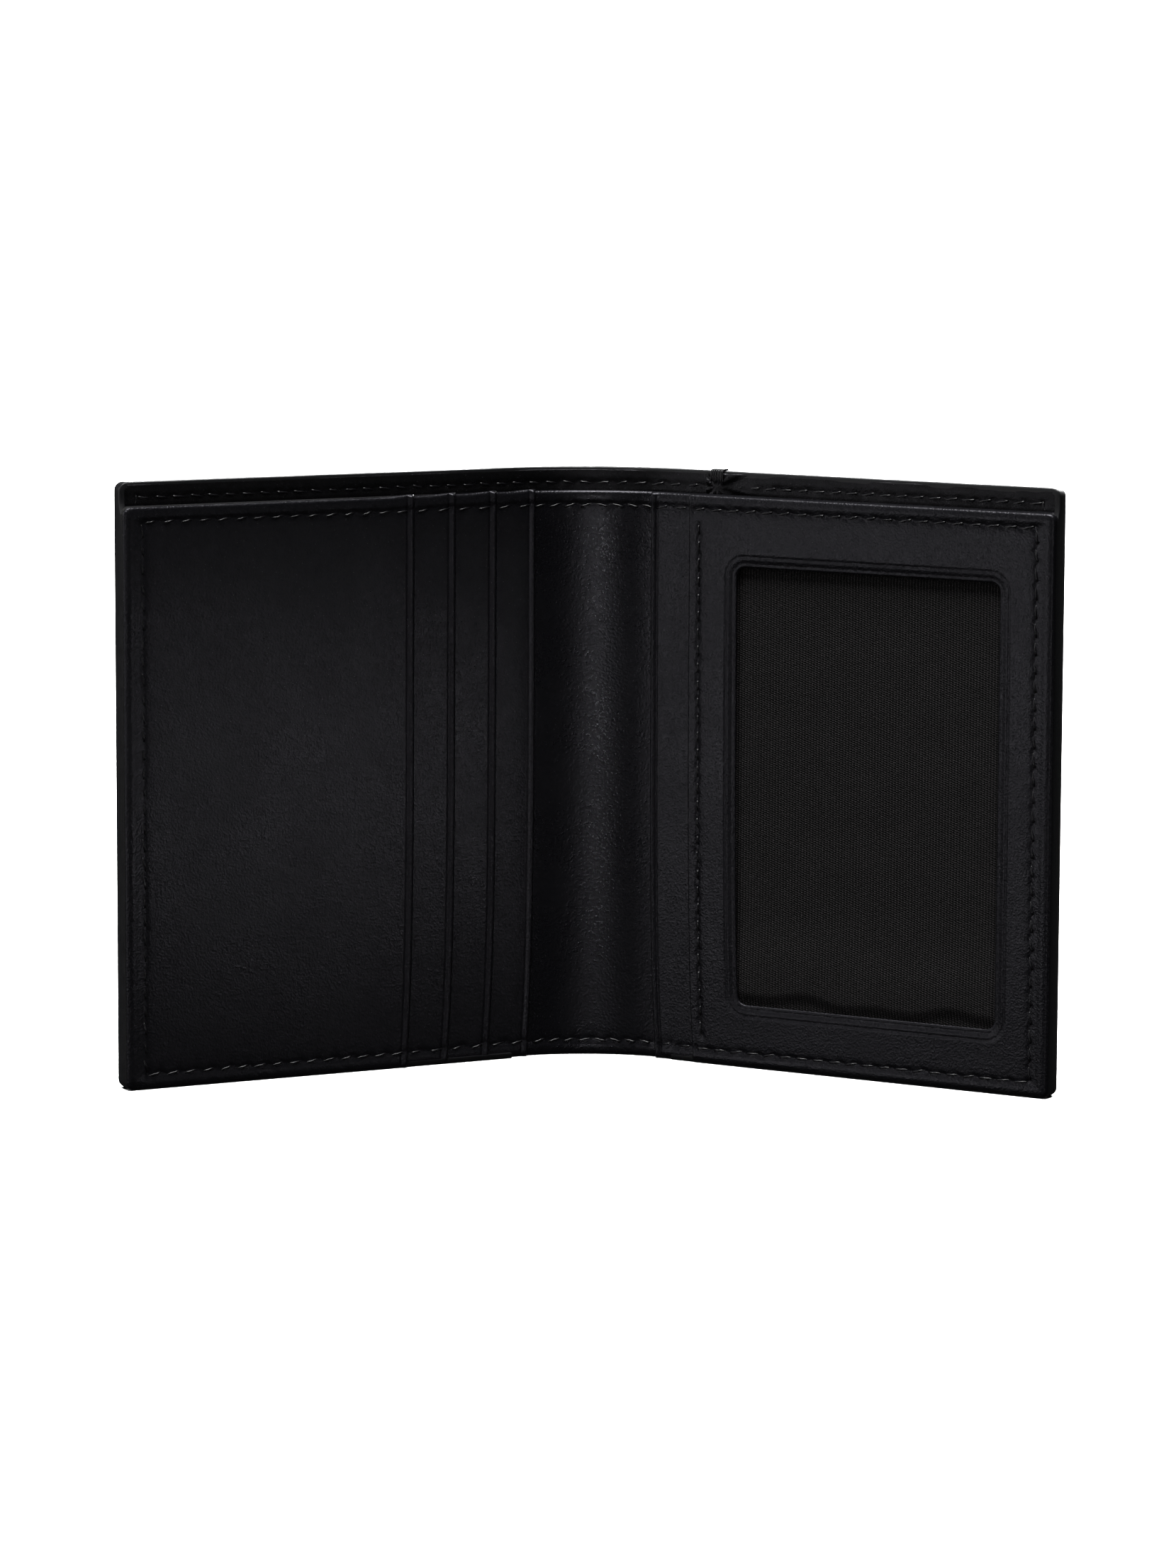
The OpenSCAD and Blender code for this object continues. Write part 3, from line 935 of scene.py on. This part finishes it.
def make_window_pocket():
    """The window pocket's front, the frame that lies on it, and their seams."""
    frame_s0 = LAYER["id_frame"]["s"][0]
    pocket_s0 = LAYER["id_pocket_front"]["s"][0]
    outline = Outline(frame_s0, OUTER, 0, INSIDE_TOP)
    hole = window_box("id_frame")
    hole_r = 1.6
    w_top = w_range("id_frame")[1]
    w_mid = w_range("id_pocket_front")[1]
    edge_seams = [Seam((pocket_s0 + 0.4, z), (frame_s0, z)) for z in SEAM_Z]
    seams = [
        Seam((frame_s0 + 0.4, SEAM_Z[1]), (SEAM_S, SEAM_Z[1]), slant=0.4),
        Seam((SEAM_S, SEAM_Z[1]), (SEAM_S, SEAM_Z[0]), slant=0.3),
        Seam((SEAM_S, SEAM_Z[0]), (frame_s0 + 0.4, SEAM_Z[0]), slant=0.25),
        Seam((COLUMN_S, SEAM_Z[0] + 2), (COLUMN_S, SEAM_Z[1] - 2), pitch=2.9, length=1.9,
             slant=0.15),
    ]
    waves = soft_waves(71, 0.05)

    def pocket_relief(s, z):
        rim = np.minimum(z, INSIDE_TOP - z)
        d = s - pocket_s0
        total = folded_edge(d, 0.48, 0.24, 0.42, 1.25) * smooth(rim / 0.5 + 0.2)
        total = total + puffed_edge(rim) * (d < 10)
        total = total - rounded(rim, 0.4)
        total = total - np.where(d > frame_s0 - pocket_s0 - 0.3, 0.04, 0)
        return total + sum(seam.dent(s, z) for seam in edge_seams)

    def frame_relief(s, z):
        from_window = -box_inset(s, z, hole, hole_r)
        rim = outline.inset(s, z)
        total = -rounded(rim, 0.45) - rounded(s - frame_s0, 0.3)
        total = total - 0.34 * (1 - smooth(from_window / 1.9)) - rounded(from_window, 0.12)
        total = total + 0.1 * bell(from_window - 0.3, 0.2) - 0.12 * bell(from_window - 1.8, 0.22)
        total = total + puffed_edge(rim) + waves(s, z) * smooth(rim / 8) * smooth(from_window / 4)
        return total + sum(seam.dent(s, z) for seam in seams)

    windowed("id_pocket_front_leather", "id_pocket_front", 3.1, pocket_relief, 26)
    windowed("id_frame_leather", "id_frame", hole_r, frame_relief, 60)

    def level(s, z):
        return np.where(s < frame_s0, w_mid, w_top)

    make_thread("window_thread", edge_seams + seams[:3], level, RIGHT,
                stands_for=["seam_right"], where=place_panel)
    make_thread("frame_thread", seams[3:], level, RIGHT, stands_for=["seam_id_frame"],
                where=place_panel)


def make_window_cloth():
    """Ribbed cloth, whose ribs run upright."""
    node = "window_backing"
    s0, s1 = LAYER[node]["s"]
    w0, w1 = w_range(node)
    hole = window_box("id_pocket_front")
    margin = 2.0
    seen = np.arange(hole[0] - margin, hole[1] + margin, RIB / 6)
    s_line = np.unique(np.concatenate([[s0], seen, np.linspace(hole[1] + margin + 1, s1, 4)]))
    z_line = spaced(0, INSIDE_TOP - 0.4, 0.65, [(hole[2], hole[2] + 7)], 0.25)
    bumps = soft_waves(82, 0.06, 20)
    outline = Outline(s0, s1, 0, INSIDE_TOP - 0.4)

    def slack(s, z):
        """The cloth bellies out low down and tucks back in above the window's sill."""
        sill = hole[2] + 2.6 + 0.5 * np.sin(s / 5.0) + 0.35 * np.sin(s / 2.1 + 1)
        belly = smooth((z - sill + 1.2) / 2.4) * bell(np.maximum(z - sill - 1.2, 0), 9.0)
        return 0.5 * belly * smooth((s - hole[0]) / 3.0) * smooth((hole[1] - s) / 3.0)

    def front(s, z):
        inside = smooth((s - hole[0] + margin) / 1.5) * smooth((hole[1] + margin - s) / 1.5)
        ribs = 0.075 * np.cos(2 * math.pi * s / RIB)
        return w1 - 0.09 + inside * (ribs + bumps(s, z)) + slack(s, z)

    points, faces = slab_mesh(outline, s_line, z_line, front, lambda s, z: w0 + 0 * s, RIGHT)
    piece = make_object("window_ribbed_cloth", points, faces, RIBBED, sharp=80)
    settle(piece, RIGHT, None, [node])


# ------------------------------------------------------------- small pieces


def make_edge_paint(side):
    """The painted edge of the sewn stack, along the bottom and outer side."""
    name = side_name(side)
    w_low, w_shell = 0.12, 2.5
    stack = w_range("pocket_front" if side == LEFT else "id_frame")[1] - 0.3
    r = CORNER_R
    path = [(s, 0.0) for s in np.linspace(BEND_LEN, OUTER - r, 60)]
    normals = [(0.0, -1.0)] * 60
    for a in np.linspace(-math.pi / 2, 0, 9)[1:]:
        path.append((OUTER - r + r * math.cos(a), r + r * math.sin(a)))
        normals.append((math.cos(a), math.sin(a)))
    for z in np.linspace(r, SHELL_TOP - r, 90)[1:]:
        path.append((OUTER, z))
        normals.append((1.0, 0.0))
    for a in np.linspace(0, math.pi / 2, 9)[1:]:
        path.append((OUTER - r + r * math.cos(a), SHELL_TOP - r + r * math.sin(a)))
        normals.append((math.cos(a), math.sin(a)))
    path, normals = np.array(path), np.array(normals)
    above = smooth((path[:, 1] - INSIDE_TOP + 3) / 4.0)
    thick = stack + (w_shell - stack) * above
    turn = np.linspace(0, math.pi, 11)
    bulge, depth = 0.22, 0.9
    proud = bulge * np.sin(turn) ** 0.6
    w = w_low + (1 - np.cos(turn))[None, :] / 2 * (thick[:, None] - w_low)
    settled = -0.16 + proud[None, :] + 0 * w
    s_out = path[:, :1] + normals[:, :1] * settled
    z_out = path[:, 1:] + normals[:, 1:] * settled
    s_in = path[:, :1] - normals[:, :1] * depth + 0 * w
    z_in = path[:, 1:] - normals[:, 1:] * depth + 0 * w
    z_out, z_in = np.maximum(z_out, 0.0), np.maximum(z_in, 0.05)
    points, faces = closed_mesh(place(side, s_out, w, z_out), place(side, s_in, w, z_in))
    piece = make_object("edge_paint_" + name, points, faces, PAINT)
    settle(piece, side)


def sweep(path, radius, around=10):
    """Points and faces of a closed loop of thread along path."""
    ahead = np.roll(path, -1, 0) - np.roll(path, 1, 0)
    ahead /= np.linalg.norm(ahead, axis=1)[:, None]
    side_way = np.cross(ahead, np.array([math.cos(FOLD), -math.sin(FOLD), 0.15]))
    side_way /= np.linalg.norm(side_way, axis=1)[:, None]
    other = np.cross(ahead, side_way)
    turn = np.arange(around) * 2 * math.pi / around
    points = (
        path[:, None]
        + radius * np.cos(turn)[None, :, None] * side_way[:, None]
        + radius * np.sin(turn)[None, :, None] * other[:, None]
    )
    index = np.arange(len(path) * around).reshape(len(path), around)
    faces = [band_faces(index[k], index[(k + 1) % len(path)]) for k in range(len(path))]
    return points.reshape(-1, 3), np.concatenate(faces)


def make_bar_tack():
    """Loops of thread over the shell's top edge, pulled tight."""
    turns, spacing, radius = 8, 0.3, 0.14
    low, high = LAYER["bar_tack"]["z"]
    front_w = SHELL_W + 0.62
    points, faces, first = [], [], 0
    for k in range(turns):
        lean = rng.uniform(-0.35, 0.35)
        s = TACK_S + (k - (turns - 1) / 2) * spacing
        bottom = low + 0.5 + rng.uniform(-0.45, 0.45)
        a = np.linspace(0, 2 * math.pi, 40, endpoint=False)
        middle_w, half_w = (front_w - 0.18) / 2, (front_w + 0.18) / 2
        middle_z, half_z = (bottom + high - 0.2) / 2, (high - 0.2 - bottom) / 2
        square = 0.55
        cos, sin = np.cos(a), np.sin(a)
        w = middle_w + half_w * np.sign(cos) * np.abs(cos) ** square
        z = middle_z + half_z * np.sign(sin) * np.abs(sin) ** square
        path = place(RIGHT, s + lean * (z - middle_z) / 3, w, z)
        loop_points, loop_faces = sweep(path, radius * MM)
        points.append(loop_points)
        faces.append(loop_faces + first)
        first += len(loop_points)
    piece = make_object("bar_tack_thread", np.concatenate(points), np.concatenate(faces),
                        THREAD, sharp=80)
    settle(piece, RIGHT, None, ["bar_tack"])


def finish_hidden_nodes():
    """Boards, fillers and pocket cloths keep their CAD shape."""
    looks = {
        "board": BOARD,
        "pocket_fabric": CLOTH,
        "bottom_filler": INNER,
        "side_filler": INNER,
    }
    for name, node in frame["nodes"].items():
        for start, material in looks.items():
            if name.startswith(start):
                node.data.materials.clear()
                node.data.materials.append(material)


# --------------------------------------------------------------- the studio


def make_stage():
    """A pale floor that curves up into a backdrop."""
    width, depth, reach, radius = 4.0, 2.2, 3.0, 0.7
    profile = [(-reach, 0.0), (depth - radius, 0.0)]
    profile += [
        (depth - radius + radius * math.sin(a), radius - radius * math.cos(a))
        for a in np.linspace(0, math.pi / 2, 24)[1:]
    ]
    profile.append((depth, 3.5))
    points = [(x, y, z) for y, z in profile for x in (-width, width)]
    faces = [(2 * k, 2 * k + 1, 2 * k + 3, 2 * k + 2) for k in range(len(profile) - 1)]
    mesh = bpy.data.meshes.new("floor")
    mesh.from_pydata(points, [], faces)
    mesh.polygons.foreach_set("use_smooth", [True] * len(faces))
    floor = bpy.data.objects.new("floor", mesh)
    bpy.context.scene.collection.objects.link(floor)
    look = Shader("floor", Roughness=0.9)
    look.surface.inputs["Base Color"].default_value = (0.86, 0.86, 0.86, 1)
    mesh.materials.append(look.material)
    floor.visible_glossy = False
    floor.visible_diffuse = False
    return floor


def soft_light(name, place_at, size, power, aim=(0, 0, 0.05), spread=180, only=None):
    """A flat soft light that faces aim, and may light only one collection."""
    data = bpy.data.lights.new(name, "AREA")
    data.shape = "RECTANGLE"
    data.size, data.size_y = size
    data.energy = power
    data.spread = math.radians(spread)
    lamp = bpy.data.objects.new(name, data)
    lamp.location = place_at
    lamp.rotation_mode = "QUATERNION"
    lamp.rotation_quaternion = (Vector(place_at) - Vector(aim)).to_track_quat("Z", "Y")
    bpy.context.scene.collection.objects.link(lamp)
    if only:
        lamp.light_linking.receiver_collection = only


def make_lights(floor):
    """Low soft lights for the leather's sheen, and high ones for its edges and the floor."""
    backdrop = bpy.data.collections.new("backdrop")
    backdrop.objects.link(floor)
    # The first two give the sheen of the half across from them, and the third the spine's.
    soft_light("left", (-0.36, -0.32, 0.012), (0.2, 0.054), 0.0160, (0.066, -0.02, 0.038), 60)
    soft_light("right", (0.335, -0.285, 0.013), (0.12, 0.04), 0.0012, (-0.078, 0, 0.046), 15)
    soft_light("front", (-0.055, -1.05, 0.016), (0.06, 0.07), 0.0150, (0, 0, 0.05), 30)
    soft_light("far_left", (-0.6, -0.05, 0.25), (0.3, 0.3), 0.7)
    soft_light("behind", (0.25, 0.85, 0.6), (0.7, 0.5), 5.0, spread=60)
    soft_light("top", (-0.15, -0.35, 1.75), (1.2, 0.9), 42)
    soft_light("floor", (0, 0.1, 1.75), (1.4, 0.9), 180, (0, 0.1, 0), only=backdrop)
    soft_light("back", (0, 0.4, 2.0), (2.2, 1.0), 120, (0, 1.5, 0.3), only=backdrop)
    world = bpy.data.worlds.new("studio")
    world.use_nodes = True
    glow = world.node_tree.nodes["Background"]
    glow.inputs["Color"].default_value = (1, 1, 1, 1)
    glow.inputs["Strength"].default_value = 0.026
    bpy.context.scene.world = world
    bpy.context.scene.view_settings.view_transform = "Standard"


def make_camera():
    """The view from a metre away, slightly above and slightly to the right."""
    distance, azimuth, elevation, roll = 1.0, 1.5, 8.1, 0.24
    target = Vector((-0.0009, AXIS_Y * MM, 0.046))
    a, e, r = (math.radians(v) for v in (azimuth, elevation, roll))
    ahead = Vector((-math.sin(a) * math.cos(e), math.cos(a) * math.cos(e), -math.sin(e)))
    right = ahead.cross(Vector((0, 0, 1))).normalized()
    up = right.cross(ahead)
    turned_right = right * math.cos(r) + up * math.sin(r)
    turned_up = up * math.cos(r) - right * math.sin(r)
    data = bpy.data.cameras.new("camera")
    data.lens, data.sensor_width = 135.7, 36
    data.clip_start, data.clip_end = 0.01, 20
    camera = bpy.data.objects.new("camera", data)
    bpy.context.scene.collection.objects.link(camera)
    rotation = Matrix((turned_right, turned_up, -ahead)).transposed().to_4x4()
    camera.matrix_world = Matrix.Translation(target - ahead * distance) @ rotation
    bpy.context.scene.camera = camera


make_camera()
make_lights(make_stage())
for side in (LEFT, RIGHT):
    make_cover(side)
    make_shell_bead(side)
    make_spine_layers(side)
    make_base(side)
    make_edge_paint(side)
make_linings()
make_card_pockets()
make_window_cloth()
make_window_pocket()
make_bar_tack()
finish_hidden_nodes()
